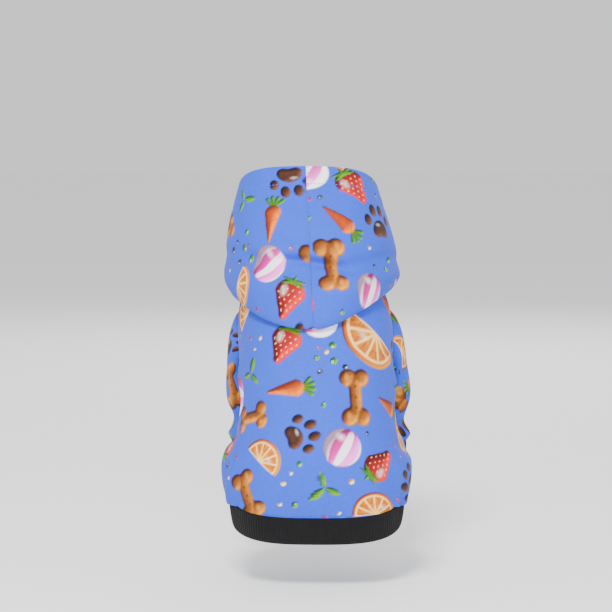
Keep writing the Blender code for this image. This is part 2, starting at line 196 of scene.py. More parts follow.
# Paint for the print, from shade to light. The view transform pales a colour, so these are richer.
TOAST = ("#3A1B0A", "#84450F", "#E0922E")
COCOA = ("#160805", "#361C12", "#6E4430")
BERRY = ("#4A0A10", "#890F17", "#D6252C")
ROSE = ("#711E51", "#C91D92", "#FC7FE7")
MILK = ("#86697F", "#FCE2FC", "#FCFCFC")
PEEL = ("#682A0E", "#B45806", "#F0A010")
CREAM = ("#7D581E", "#E6AF1C", "#FCF0A0")
LEAF = ("#183811", "#316D13", "#6BA302")
ROOT = ("#5E2310", "#A63C06", "#EE7812")
NIGHT = ("#0A0D11", "#1B232A", "#495D68")
SEED = "#F3D27A"
PITH = "#F7C878"


# The worn form


def smooth(places, values, at):
    """A smooth curve through the points (places, values), read at `at`: cubic spans with mean slopes."""
    places, values = np.asarray(places, float), np.asarray(values, float)
    slopes = np.gradient(values, places)
    index = np.clip(np.searchsorted(places, at) - 1, 0, len(places) - 2)
    width = places[index + 1] - places[index]
    t = (np.asarray(at, float) - places[index]) / width
    return (
        values[index] * (1 + 2 * t) * (1 - t) ** 2
        + values[index + 1] * t * t * (3 - 2 * t)
        + width * t * (1 - t) * (slopes[index] * (1 - t) - slopes[index + 1] * t)
    )


def section(name, along):
    """One value of the body's rings, read up the back."""
    return smooth(BODY_SECTIONS["along"], BODY_SECTIONS[name], along)


def unit(vectors):
    """The vectors at length one."""
    return vectors / np.maximum(np.linalg.norm(vectors, axis=-1, keepdims=True), 1e-12)


def back_line(along):
    """Y and Z of the middle of the back: its lean angle summed up from the waistband seam."""
    steps = np.linspace(0, 1, 401)
    lean_angle = np.radians(section("lean", steps))
    middle = (lean_angle[1:] + lean_angle[:-1]) / 2
    step = BACK_LENGTH / (len(steps) - 1)
    y = np.concatenate([[0], np.cumsum(np.cos(middle) * step)])
    z = np.concatenate([[0], np.cumsum(np.sin(middle) * step)])
    return np.interp(along, steps, y), np.interp(along, steps, z)


def ring_middle(along):
    """Y and Z of a ring's middle, and of the half ring from its middle to the back."""
    y, z = back_line(along)
    slope = np.radians(section("slope", along))
    half = section("depth", along) * CHEST_DEPTH / 2
    return y + half * np.cos(slope), z + half * np.sin(slope), half * np.cos(slope), half * np.sin(slope)


NECK_Y, NECK_Z = (float(value) for value in ring_middle(1.0)[:2])
NECK_SLOPE = math.radians(BODY_SECTIONS["slope"][-1])
TO_FRONT = np.array([0.0, math.cos(NECK_SLOPE), math.sin(NECK_SLOPE)])
UP_NECK = np.array([0.0, -math.sin(NECK_SLOPE), math.cos(NECK_SLOPE)])


def squared(value, squareness):
    """A sine or cosine raised to the power 2 / squareness, which makes an ellipse boxier."""
    return np.sign(value) * np.abs(value) ** (2 / squareness)


def body_point(angle, along):
    """A ring of the body: a boxy ellipse about its sloping middle, puffed over the waistband."""
    angle, along = np.broadcast_arrays(np.asarray(angle, float), np.asarray(along, float))
    middle_y, middle_z, half_y, half_z = ring_middle(along)
    squareness = section("squareness", along)
    flank = np.abs(np.sin(angle)) ** np.where(np.cos(angle) > 0, 5, 14)
    puffed = np.clip(along, 0, BLOUSE["along"][-1])
    out = flank * BLOUSE_OUT * smooth(BLOUSE["along"], BLOUSE["out"], puffed)
    drop = flank * BLOUSE_DROP * smooth(BLOUSE["along"], BLOUSE["drop"], puffed)
    x = (section("width", along) * CHEST_WIDTH / 2 + out) * squared(np.sin(angle), squareness)
    y = middle_y - half_y * squared(np.cos(angle), squareness)
    z = middle_z - half_z * squared(np.cos(angle), squareness) - drop
    return np.stack([x, y - NECK_Y, z - NECK_Z], axis=-1)


def body_normal(angle, along):
    """Outward direction of the body: the cross product of its steps round and up."""
    d = 1e-4
    along = np.clip(np.asarray(along, float), d, 1 - d)
    round_it = body_point(angle + d, along) - body_point(angle - d, along)
    up_it = body_point(angle, along + d) - body_point(angle, along - d)
    return unit(np.cross(round_it, up_it))


def lean(points):
    """Points above the lean's start shift to -X by a power of their height above it."""
    points = np.array(points, float)
    share = np.clip((points[..., 2] + LEAN_DEPTH) / (HOOD_RISE + LEAN_DEPTH), 0, None)
    points[..., 0] -= LEAN_SHIFT * share**LEAN_POWER
    return points


def armhole_half(along):
    """Half the armhole's width: an ellipse along the side seam, in metres."""
    t = (along - ARMHOLE_PLACE) * BACK_LENGTH / (ARMHOLE_LENGTH / 2)
    return ARMHOLE_WIDTH / 2 * np.sqrt(np.clip(1 - t * t, 0, None))


def chest_radius():
    """Turns a length round the chest into an angle."""
    return (CHEST_WIDTH + CHEST_DEPTH) / 4


def grid_normals(grid, closed=False):
    """Outward direction at each point of a grid: the cross product of its steps round and up."""
    up_it = np.gradient(grid, axis=0)
    if closed:
        round_it = np.roll(grid, -1, axis=1) - np.roll(grid, 1, axis=1)
    else:
        round_it = np.gradient(grid, axis=1)
    return unit(np.cross(round_it, up_it))


# Places on the flat cloth, folds and seams


def run_across(grid, start):
    """Running distance along each row, from the column start."""
    step = np.linalg.norm(np.diff(grid, axis=1), axis=2)
    run = np.concatenate([np.zeros((len(grid), 1)), np.cumsum(step, axis=1)], axis=1)
    return run - run[:, start][:, None]


def run_down(grid, start):
    """Running distance down each column, from the row start."""
    step = np.linalg.norm(np.diff(grid, axis=0), axis=2)
    run = np.concatenate([np.zeros((1, grid.shape[1])), np.cumsum(step, axis=0)])
    return run[start] - run


def fold_relief(across, down, folds, share):
    """Each fold is a soft ridge: a bell curve across it, which fades towards both its ends."""
    total = np.zeros_like(across)
    for a, d, turn, length, width, height in zip(*folds.values()):
        c, s = math.cos(math.radians(turn)), math.sin(math.radians(turn))
        run = ((across - a) * c + (down - d) * s) / length
        off = ((down - d) * c - (across - a) * s) / width
        total += height * share * np.exp(-off * off - run**4)
    return total


def gathers(across, distance, spacing, depth):
    """Small pleats that leave a tight seam: a wavy sine across, which dies away over reach."""
    pitch, reach = spacing
    wander = 1.7 * np.sin(across * 41.0) + 0.9 * np.sin(across * 97.0 + 1.3)
    wave = np.sin(2 * math.pi * across / pitch + wander) * (0.65 + 0.35 * np.sin(across * 63.0 + 0.6))
    return depth * wave * np.exp(-distance / reach) * np.clip(distance / 0.003, 0, 1)


def hang_waves(across, down, depth):
    """Wide, shallow unevenness of cloth that hangs loose: a few slanted sines."""
    return depth * (
        np.sin(52 * across + 31 * down + 0.4) * 0.5
        + np.sin(-37 * across + 58 * down + 1.9) * 0.35
        + np.sin(88 * across - 46 * down + 3.1) * 0.25
    )


def seam_dip(distance, depth=0.0009, reach=0.0026):
    """Cloth turns in towards a seam: a bell curve of the distance to it."""
    return -depth * np.exp(-((distance / reach) ** 2))


def free_of(distance, reach=0.010):
    """0 at a seam and 1 past reach, so that pieces still meet there."""
    t = np.clip(distance / reach, 0, 1)
    return t * t * (3 - 2 * t)


# Paint


def colour_of(hex_colour):
    """An sRGB hex colour as linear red, green and blue."""
    parts = np.array([int(hex_colour[i : i + 2], 16) / 255 for i in (1, 3, 5)])
    return np.where(parts <= 0.04045, parts / 12.92, ((parts + 0.055) / 1.055) ** 2.4)


def shade_of(paint, light):
    """A colour between a paint's three tones, with light from 0 to 1."""
    tones = np.array([colour_of(tone) for tone in paint])
    at = np.clip(light, 0, 1) * 2
    low = np.clip(1 - at, 0, 1)[:, None]
    high = np.clip(at - 1, 0, 1)[:, None]
    return tones[0] * low + tones[1] * (1 - low - high) + tones[2] * high


def over(base, top, cover):
    """The top colours laid over the base, by a cover from 0 to 1."""
    return base + (top - base) * np.clip(cover, 0, 1)[:, None]


def grain(x, y):
    """Smooth noise from 0 to 1: hashed corners of a square lattice, blended across each square."""
    ix, iy = np.floor(x), np.floor(y)
    fx, fy = x - ix, y - iy
    fx, fy = fx * fx * (3 - 2 * fx), fy * fy * (3 - 2 * fy)

    def corner(i, j):
        value = np.sin((ix + i) * 127.1 + (iy + j) * 311.7) * 43758.5453
        return value - np.floor(value)

    low = corner(0, 0) * (1 - fx) + corner(1, 0) * fx
    high = corner(0, 1) * (1 - fx) + corner(1, 1) * fx
    return low * (1 - fy) + high * fy


def disc(x, y, cx, cy, rx, ry=None):
    """Distance to an ellipse's edge, nearly: negative inside."""
    ry = rx if ry is None else ry
    return (np.hypot((x - cx) / rx, (y - cy) / ry) - 1) * min(rx, ry)


def capsule(x, y, x0, y0, x1, y1, r0, r1):
    """Distance to a stroke from (x0, y0) to (x1, y1) whose radius changes from r0 to r1."""
    dx, dy = x1 - x0, y1 - y0
    t = np.clip(((x - x0) * dx + (y - y0) * dy) / (dx * dx + dy * dy), 0, 1)
    return np.hypot(x - x0 - t * dx, y - y0 - t * dy) - (r0 + (r1 - r0) * t)


def joined(*distances, soft):
    """A smooth union of shapes."""
    total = distances[0]
    for other in distances[1:]:
        h = np.clip(0.5 + 0.5 * (other - total) / soft, 0, 1)
        total = other + (total - other) * h - soft * h * (1 - h)
    return total


def modelled(shape, x, y, paint, round_over, turned):
    """A painted solid: it domes within round_over of its edge, and is lit from the cloth's upper left."""
    e = 0.05
    lx, ly = math.cos(2.3 - turned) * e, math.sin(2.3 - turned) * e

    def height(d):
        t = np.clip(1 + d / round_over, 0, 1)
        return np.sqrt(np.clip(1 - t * t, 0, 1)) * round_over

    d = shape(x, y)
    slope = (height(shape(x - lx, y - ly)) - height(shape(x + lx, y + ly))) / (2 * e)
    light = 0.52 - 0.56 * slope + 0.14 * (height(d) / round_over - 0.7)
    edge = 1 - 0.42 * np.exp(-((d / 0.045) ** 2))
    return d, shade_of(paint, light) * edge[:, None]


def speckled(colours, x, y, scale, depth):
    """Colours made darker and lighter by smooth noise."""
    return colours * (1 + depth * (grain(x * scale, y * scale) - 0.5))[:, None]


def shine(colours, x, y, cx, cy, rx, ry, strength):
    """A soft highlight: an ellipse that fades to its edge."""
    spot = np.clip(1 - np.hypot((x - cx) / rx, (y - cy) / ry), 0, 1)
    return over(colours, np.ones(3), strength * spot)


def biscuit(x, y, turned):
    """A bone-shaped biscuit: a bar with two knobs at each end, three holes, and two paler knobs."""

    def shape(x, y):
        bar = capsule(x, y, -0.55, 0, 0.55, 0, 0.24, 0.24)
        knobs = [disc(x, y, i * 0.66, j * 0.25, 0.31) for i in (-1, 1) for j in (-1, 1)]
        return joined(bar, *knobs, soft=0.10)

    d, colours = modelled(shape, x, y, TOAST, 0.26, turned)
    colours = speckled(colours, x, y, 13, 0.34)
    colours = over(colours, colour_of(TOAST[0]), np.clip((d + 0.09) / 0.09, 0, 1) * 0.55)
    for cx in (-0.36, 0, 0.36):
        hole = np.clip(-disc(x, y, cx, 0, 0.055) / 0.03, 0, 1)
        colours = over(colours, colour_of(TOAST[0]), hole * 0.85)
    for cx in (-0.66, 0.66):
        paler = np.clip(-disc(x, y, cx, 0.28, 0.20, 0.12) / 0.12, 0, 1)
        colours = over(colours, colour_of(TOAST[2]), paler * 0.7)
    return d, colours


def paw(x, y, turned):
    """A paw print of dark cocoa: a rounded pad under four toes."""

    def shape(x, y):
        heel = [disc(x, y, 0, -0.28, 0.42, 0.34)] + [disc(x, y, i * 0.26, -0.42, 0.24) for i in (-1, 1)]
        outer_toes = [disc(x, y, i * 0.66, 0.08, 0.19, 0.25) for i in (-1, 1)]
        middle_toes = [disc(x, y, i * 0.26, 0.50, 0.20, 0.28) for i in (-1, 1)]
        return np.minimum.reduce([joined(*heel, soft=0.12), *outer_toes, *middle_toes])

    d, colours = modelled(shape, x, y, COCOA, 0.17, turned)
    colours = speckled(colours, x, y, 9, 0.5)
    return d, shine(colours, x, y, -0.14, -0.14, 0.20, 0.09, 0.35)


def ball(x, y, turned):
    """A ball with curved stripes of rose and milk."""

    def shape(x, y):
        return disc(x, y, 0, 0, 0.92)

    d, rose = modelled(shape, x, y, ROSE, 0.92, turned)
    milk = modelled(shape, x, y, MILK, 0.92, turned)[1]
    bend = x / np.sqrt(np.clip(1.02 - y * y, 0.08, None))
    stripe = np.clip(np.sin(bend * 7.2 + 0.5) * 3.2 + 0.3, 0, 1)
    colours = over(rose, milk, stripe)
    return d, shine(colours, x, y, -0.30, 0.40, 0.34, 0.22, 0.6)


def strawberry(x, y, turned):
    """A berry that tapers downwards, with rows of seeds and a crown of five leaves."""

    def fruit(x, y):
        return capsule(x, y, 0, 0.14, 0, -0.66, 0.64, 0.22)

    d, colours = modelled(fruit, x, y, BERRY, 0.50, turned)
    row = np.floor(y / 0.21)
    sx = (x + 0.12 * (row % 2)) / 0.24
    sx, sy = sx - np.round(sx), y / 0.21 - row - 0.5
    seed = np.clip((0.21 - np.hypot(sx * 1.6, sy)) / 0.08, 0, 1) * (y < 0.5) * (d < -0.08)
    colours = over(colours, colour_of(SEED), seed * 0.9)
    colours = shine(colours, x, y, -0.26, 0.22, 0.20, 0.30, 0.45)

    def crown(x, y):
        leaves = [
            capsule(x, y, 0, 0.66, 0.52 * math.cos(a), 0.66 + 0.30 * math.sin(a), 0.13, 0.03)
            for a in np.radians((-28, 22, 90, 158, 208))
        ]
        return np.minimum.reduce(leaves)

    top, green = modelled(crown, x, y, LEAF, 0.12, turned)
    return np.minimum(d, top), over(colours, green, np.clip(0.5 - top / 0.03, 0, 1))


def citrus(x, y, turned):
    """Half a slice of orange: peel, a pale pith, and segments with pale walls between them."""

    def shape(x, y):
        return np.maximum(disc(x, y, 0, 0.36, 0.98), y - 0.36)

    d, colours = modelled(shape, x, y, PEEL, 0.10, turned)
    radius, angle = np.hypot(x, y - 0.36), np.arctan2(x, 0.36 - y)
    colours = over(colours, colour_of(PITH), np.clip((0.87 - radius) / 0.03, 0, 1))
    pulp = shade_of(PEEL, 0.44 + 0.42 * grain(angle * 26, radius * 9) - 0.30 * (radius - 0.4))
    part = math.pi / 6
    off = np.abs(angle / part - np.round(angle / part)) * part * radius
    flesh = np.clip((0.80 - radius) / 0.03, 0, 1) * np.clip((off - 0.020) / 0.03, 0, 1)
    flesh = flesh * np.clip((0.34 - y) / 0.03, 0, 1) * np.clip((radius - 0.08) / 0.05, 0, 1)
    return d, shine(over(colours, pulp, flesh), x, y, -0.30, 0.02, 0.22, 0.12, 0.35)


def sprig(x, y, turned):
    """Three leaves on one stalk, each with a pale midrib."""
    d, colours = np.full_like(x, 9.0), np.zeros((len(x), 3))
    for a, reach in zip(np.radians((90, 205, 335)), (0.92, 0.80, 0.80)):
        u = x * math.cos(a) + y * math.sin(a)
        v = y * math.cos(a) - x * math.sin(a)

        def leaf(u, v, reach=reach):
            half = reach / 2
            return np.hypot(u - half, np.abs(v) + 0.42) - math.hypot(half, 0.42)

        edge, green = modelled(leaf, u, v, LEAF, 0.22, turned + a)
        green = over(green, colour_of(LEAF[2]), np.clip((0.035 - np.abs(v)) / 0.03, 0, 1) * 0.6)
        colours = over(colours, green, (edge < d).astype(float))
        d = np.minimum(d, edge)
    return d, colours


def carrot(x, y, turned):
    """A tapering root with short rings, and a tuft of green strokes."""

    def root(x, y):
        return capsule(x, y, -0.28, 0, 0.82, 0, 0.33, 0.06)

    d, colours = modelled(root, x, y, ROOT, 0.33, turned)
    rings = np.clip(np.sin(x * 22 + 2 * np.sin(y * 9)) - 0.62, 0, 1) * (np.sin(x * 9 + y * 14) > 0)
    colours = over(colours, colour_of(ROOT[0]), rings * 0.9)

    def tuft(x, y):
        strokes = [
            capsule(x, y, -0.52, 0, -0.52 - 0.44 * math.cos(a), 0.44 * math.sin(a), 0.06, 0.09)
            for a in (-0.75, -0.25, 0.25, 0.75)
        ]
        return np.minimum.reduce(strokes)

    top, green = modelled(tuft, x, y, LEAF, 0.09, turned)
    return np.minimum(d, top), over(green, colours, np.clip(0.5 - d / 0.03, 0, 1))


def drop(paint):
    """A small round drop of one paint, with a highlight."""

    def draw(x, y, turned):
        d, colours = modelled(lambda x, y: disc(x, y, 0, 0, 0.9), x, y, paint, 0.9, turned)
        return d, shine(colours, x, y, -0.25, 0.3, 0.4, 0.3, 0.8)

    return draw


# What the print holds: each motif's drawing and its radius on the cloth, in metres
MOTIFS = {
    "drawing": (biscuit, ball, citrus, strawberry, paw, carrot, sprig),
    "radius": (0.0320, 0.0265, 0.0310, 0.0290, 0.0285, 0.0310, 0.0240),
}
DROPS = {
    "drawing": (drop(LEAF), drop(NIGHT), drop(BERRY), drop(CREAM)),
    "radius": (0.0042, 0.0036, 0.0024, 0.0030),
}


# How the print is laid out, in metres where it is a length
MOTIF_ROOM = 0.0255
MOTIF_SIZES = (0.90, 1.10)
EMPTY_CORNERS = 0.88  # share of a motif's radius that its neighbours keep clear of
MOTIF_THROWS = 90
MISSES = 12  # the layout is full after this many sets of throws without room
UNLIKE_REACH = 0.16  # motifs further off than this count as no neighbours
DROP_THROWS = 30
DROP_SHARES = (0.36, 0.20, 0.20, 0.24)
DROP_SIZES = (0.8, 1.2)
DROP_GAP = 0.0006
# One citrus wedge is larger and has a set place: its kind, across, down, turn and radius
WIDE_WEDGE = (2, 0.075, 0.118, 0.5, 0.052)


def clearance(places, radius, kept):
    """Each place's least distance to the edge of what is kept already."""
    if not kept:
        return np.full(len(places), 1.0)
    rows = np.array(kept)
    apart = np.hypot(places[:, :1] - rows[:, 1], places[:, 1:] - rows[:, 2])
    return (apart - radius - rows[:, 4] * EMPTY_CORNERS).min(axis=1)


def lay_out(seed, low, high, placed=()):
    """Each motif takes the snuggest of many thrown places, and is unlike its neighbours. Drops fill in."""
    rng = np.random.default_rng(seed)
    cloth = bpy.context.scene.hoodie_cloth
    kept = [list(row) for row in placed]
    kinds = len(MOTIFS["drawing"])
    misses = 0
    while misses < MISSES:
        places = rng.uniform(low, high, (MOTIF_THROWS, 2))
        size = rng.uniform(*MOTIF_SIZES)
        free = clearance(places, MOTIF_ROOM * size, kept) - cloth.motif_gap
        free[free < 0] = 9.0
        best = int(np.argmin(free))
        misses = misses + 1 if free[best] == 9.0 else 0
        if misses:
            continue
        near = np.full(kinds, 1.0)
        for row in kept:
            near[row[0]] = min(near[row[0]], math.dist(places[best], row[1:3]))
        kind = int(np.argmax(np.minimum(near, UNLIKE_REACH) + rng.uniform(0, 0.03, kinds)))
        radius = MOTIFS["radius"][kind] * size
        kept.append([kind, *places[best], rng.uniform(0, 2 * math.pi), radius])
    area = (high[0] - low[0]) * (high[1] - low[1])
    for _ in range(int(area * cloth.drops_per_area)):
        places = rng.uniform(low, high, (DROP_THROWS, 2))
        kind = int(rng.choice(len(DROPS["drawing"]), p=DROP_SHARES))
        radius = DROPS["radius"][kind] * rng.uniform(*DROP_SIZES)
        free = clearance(places, radius, kept) - DROP_GAP
        best = int(np.argmax(free))
        if free[best] > 0:
            kept.append([kinds + kind, *places[best], rng.uniform(0, 6.3), radius])
    return kept


def print_colours(across, down, placed):
    """The cloth's colour at each point: its ground, with every motif painted over it."""
    cloth = bpy.context.scene.hoodie_cloth
    u, v = across.ravel(), down.ravel()
    colours = np.tile(np.array(cloth.ground[:3]), (len(u), 1))
    mottle = 0.05 * (grain(u * 900, v * 900) - 0.5) + 0.03 * (grain(u * 60, v * 60) - 0.5)
    colours *= (1 + mottle)[:, None]
    drawings = MOTIFS["drawing"] + DROPS["drawing"]
    for kind, cu, cv, turn, radius in placed:
        near = np.flatnonzero((np.abs(u - cu) < radius * 1.15) & (np.abs(v - cv) < radius * 1.15))
        if not len(near):
            continue
        c, s = math.cos(turn), math.sin(turn)
        x = ((u[near] - cu) * c + (v[near] - cv) * s) / radius
        y = ((u[near] - cu) * s - (v[near] - cv) * c) / radius
        distance, painted = drawings[kind](x, y, -turn)
        soft = cloth.ink_spread / radius
        colours[near] = over(colours[near], painted, 0.5 - distance / soft)
    return colours


# Meshes


def index_grid(rows, columns, first, closed):
    """Numbers of a grid's points, row by row. A closed grid has its first column again at its end."""
    index = first + np.arange(rows * columns).reshape(rows, columns)
    return np.concatenate([index, index[:, :1]], axis=1) if closed else index


def quads_of(index):
    """The four corners of each cell of a grid of indices, or of a stack of such grids."""
    low, high = index[..., :-1, :], index[..., 1:, :]
    corners = (low[..., :-1], low[..., 1:], high[..., 1:], high[..., :-1])
    return np.stack(corners, axis=-1).reshape(-1, 4)


def rim_faces(fine, coarse):
    """Joins a fine edge to a coarse one, which has one in COARSE_STEP of its points, by fans of triangles."""
    half = COARSE_STEP // 2
    runs = fine[:-1].reshape(-1, COARSE_STEP)
    nexts = fine[1:].reshape(-1, COARSE_STEP)
    left = np.repeat(coarse[:-1, None], half, axis=1)
    right = np.repeat(coarse[1:, None], COARSE_STEP - half, axis=1)
    near = np.stack([left, nexts[:, :half], runs[:, :half]], axis=-1).reshape(-1, 3)
    far = np.stack([right, nexts[:, half:], runs[:, half:]], axis=-1).reshape(-1, 3)
    middle = np.stack([coarse[:-1], coarse[1:], runs[:, half]], axis=-1)
    return np.concatenate([near, far, middle])


def object_from(name, points, faces, material, colours=None, places=None):
    """An object whose mesh holds its place, with a colour and a flat cloth place for each point."""
    mesh = bpy.data.meshes.new(name)
    mesh.from_pydata(points.tolist(), [], [face for group in faces for face in group.tolist()])
    mesh.materials.append(material)
    if colours is not None:
        rgba = np.ones((len(points), 4), np.float32)
        rgba[:, :3] = colours
        mesh.color_attributes.new("print", "FLOAT_COLOR", "POINT").data.foreach_set("color", rgba.ravel())
    if places is not None:
        corner = np.empty(len(mesh.loops), np.int32)
        mesh.loops.foreach_get("vertex_index", corner)
        mesh.uv_layers.new(name="cloth").data.foreach_set("uv", places[corner].astype(np.float32).ravel())
    mesh.shade_smooth()
    obj = bpy.data.objects.new(name, mesh)
    bpy.context.scene.collection.objects.link(obj)
    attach(obj, "root")
    return obj


def lowest_near(raised, closed):
    """The lowest relief near each point, so that the coarse reverse passes under every valley."""
    low, reach = raised, VALLEY_REACH
    for axis in (0, 1):
        mode = "wrap" if closed and axis == 1 else "edge"
        pad = [(reach, reach) if k == axis else (0, 0) for k in (0, 1)]
        wide = np.pad(low, pad, mode=mode)
        count = raised.shape[axis]
        shifted = [np.take(wide, range(k, k + count), axis=axis) for k in range(2 * reach + 1)]
        low = np.minimum.reduce(shifted)
    return low


def cloth_piece(name, node, outer, across, down, placed, normals, sunk, closed=False, tucked=None):
    """A closed wall of cloth: a fine printed face, and a plain coarse reverse one wall behind it."""
    cloth = bpy.context.scene.hoodie_cloth
    rows, columns = outer.shape[:2]
    picks = slice(None, None, COARSE_STEP)
    inner = (outer - normals * (FLEECE + sunk[..., None]))[picks, picks]
    index = index_grid(rows, columns, 0, closed)
    behind = index_grid(*inner.shape[:2], rows * columns, closed)
    faces = [quads_of(index), quads_of(behind)[:, ::-1]]
    faces.append(rim_faces(index[0], behind[0])[:, ::-1])
    faces.append(rim_faces(index[-1], behind[-1]))
    if not closed:
        faces.append(rim_faces(index[:, 0], behind[:, 0]))
        faces.append(rim_faces(index[:, -1], behind[:, -1])[:, ::-1])
    points = np.concatenate([outer.reshape(-1, 3), inner.reshape(-1, 3)])
    reverse = np.tile(np.array(cloth.reverse[:3]), (inner.size // 3, 1))
    if tucked is not None:
        seen = tucked[picks, picks].ravel() > 0.02
        reverse[seen] = cloth.ground[:3]
    colours = np.concatenate([print_colours(across, down, placed), reverse])
    flat = np.stack([across, down], axis=-1)
    places = np.concatenate([flat.reshape(-1, 2), flat[picks, picks].reshape(-1, 2)])
    obj = object_from(name, points, faces, fleece(), colours, places)
    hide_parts(node)
    return obj


# Materials


def add_node(tree, kind, settings=(), inputs=(), links=()):
    """Adds a node, sets its properties and inputs, and links other nodes' outputs to it."""
    node = tree.nodes.new(kind)
    for key, value in dict(settings).items():
        setattr(node, key, value)
    for key, value in dict(inputs).items():
        node.inputs[key].default_value = value
    for key, source in dict(links).items():
        tree.links.new(source, node.inputs[key])
    return node


def new_material(name):
    """A new material and its empty node tree."""
    material = bpy.data.materials.new(name)
    material.use_nodes = True
    tree = material.node_tree
    tree.nodes.clear()
    return material, tree


def fleece():
    """Polyester fleece, warp-knitted and brushed: matt, softly lit at its edges, with a fine uneven nap."""
    found = bpy.data.materials.get("polyester fleece, printed")
    if found:
        return found
    cloth = bpy.context.scene.hoodie_cloth
    material, tree = new_material("polyester fleece, printed")
    place = add_node(tree, "ShaderNodeUVMap", {"uv_map": "cloth"})
    ink = add_node(tree, "ShaderNodeAttribute", {"attribute_name": "print"})
    # The knit's loops are about 1 mm across. They are drawn 1.6 mm across, so that they show.
    loops = add_node(
        tree, "ShaderNodeTexVoronoi", {"feature": "SMOOTH_F1"}, {"Scale": 1 / 0.0016},
        {"Vector": place.outputs["UV"]},
    )
    nap = add_node(
        tree, "ShaderNodeTexNoise", {}, {"Scale": 1 / 0.0035, "Detail": 4.0, "Roughness": 0.6},
        {"Vector": place.outputs["UV"]},
    )
    both = add_node(
        tree, "ShaderNodeMath", {"operation": "MULTIPLY_ADD"}, {1: 0.45},
        {0: loops.outputs["Distance"], 2: nap.outputs["Fac"]},
    )
    bump = add_node(
        tree, "ShaderNodeBump", {}, {"Strength": cloth.nap_strength, "Distance": 0.0006},
        {"Height": both.outputs[0]},
    )
    tone = add_node(
        tree, "ShaderNodeMapRange", {}, {"From Min": 0.3, "From Max": 0.7, "To Min": 0.955, "To Max": 1.045},
        {"Value": nap.outputs["Fac"]},
    )
    shaded = add_node(
        tree, "ShaderNodeVectorMath", {"operation": "SCALE"}, {},
        {"Vector": ink.outputs["Color"], "Scale": tone.outputs["Result"]},
    )
    shader = add_node(
        tree, "ShaderNodeBsdfPrincipled", {},
        {
            "Roughness": 0.86, "IOR": 1.47, "Specular IOR Level": 0.22, "Sheen Weight": 0.05,
            "Sheen Roughness": 0.5,
        },
        {"Base Color": shaded.outputs["Vector"], "Normal": bump.outputs["Normal"]},
    )
    add_node(tree, "ShaderNodeOutputMaterial", {}, {}, {"Surface": shader.outputs["BSDF"]})
    return material


def rib_knit():
    """Cotton and elastane rib, knitted two by two: near black and matt, a little greyer on its wales."""
    found = bpy.data.materials.get("cotton rib knit")
    if found:
        return found
    rib = bpy.context.scene.hoodie_rib
    material, tree = new_material("cotton rib knit")
    place = add_node(tree, "ShaderNodeUVMap", {"uv_map": "cloth"})
    # Loops of 0.9 mm, drawn 1.5 mm high so that they show
    spun = add_node(
        tree, "ShaderNodeTexNoise", {}, {"Scale": 1 / 0.0015, "Detail": 3.0, "Roughness": 0.55},
        {"Vector": place.outputs["UV"]},
    )
    worn = add_node(
        tree, "ShaderNodeTexNoise", {}, {"Scale": 1 / 0.02, "Detail": 2.0}, {"Vector": place.outputs["UV"]},
    )
    mixed = add_node(
        tree, "ShaderNodeMath", {"operation": "MULTIPLY_ADD"}, {1: 0.5},
        {0: worn.outputs["Fac"], 2: spun.outputs["Fac"]},
    )
    ramp = add_node(tree, "ShaderNodeValToRGB", {}, {}, {"Fac": mixed.outputs[0]})
    base = np.array(rib.colour[:3])
    ramp.color_ramp.elements[0].position = 0.45
    ramp.color_ramp.elements[0].color = (*(base * 0.72), 1)
    ramp.color_ramp.elements[1].position = 1.0
    ramp.color_ramp.elements[1].color = (*(base * 1.35), 1)
    bump = add_node(
        tree, "ShaderNodeBump", {}, {"Strength": 0.35, "Distance": 0.0005}, {"Height": spun.outputs["Fac"]},
    )
    shader = add_node(
        tree, "ShaderNodeBsdfPrincipled", {},
        {
            "Roughness": 0.9, "IOR": 1.5, "Specular IOR Level": 0.12, "Sheen Weight": 0.05,
            "Sheen Roughness": 0.5,
        },
        {"Base Color": ramp.outputs["Color"], "Normal": bump.outputs["Normal"]},
    )
    add_node(tree, "ShaderNodeOutputMaterial", {}, {}, {"Surface": shader.outputs["BSDF"]})
    return material


def thread():
    """Spun polyester sewing thread, dyed to match the cloth: a little glossier than the fleece."""
    found = bpy.data.materials.get("polyester thread")
    if found:
        return found
    cloth = bpy.context.scene.hoodie_cloth
    material, tree = new_material("polyester thread")
    place = add_node(tree, "ShaderNodeTexCoord")
    twist = add_node(
        tree, "ShaderNodeTexNoise", {}, {"Scale": 1 / 0.0006, "Detail": 1.0},
        {"Vector": place.outputs["Object"]},
    )
    ramp = add_node(tree, "ShaderNodeValToRGB", {}, {}, {"Fac": twist.outputs["Fac"]})
    base = np.array(cloth.thread[:3])
    ramp.color_ramp.elements[0].color = (*(base * 0.8), 1)
    ramp.color_ramp.elements[1].color = (*np.minimum(base * 1.2, 1), 1)
    shader = add_node(
        tree, "ShaderNodeBsdfPrincipled", {}, {"Roughness": 0.6, "IOR": 1.5},
        {"Base Color": ramp.outputs["Color"]},
    )
    add_node(tree, "ShaderNodeOutputMaterial", {}, {}, {"Surface": shader.outputs["BSDF"]})
    return material


# Pieces


def panel_rows(below, at_armhole, above):
    """Rows up a panel: they crowd towards the waistband by a power, and to the armhole's ends by a cosine."""
    half = ARMHOLE_LENGTH / 2 / BACK_LENGTH
    start, end = ARMHOLE_PLACE - half, ARMHOLE_PLACE + half
    low = start * np.linspace(0, 1, below + 1) ** 1.25
    turn = np.linspace(0, math.pi, at_armhole + 1)
    high = np.linspace(end, 1, above + 1)
    return np.concatenate([low[:-1], ARMHOLE_PLACE - half * np.cos(turn), high[1:]])


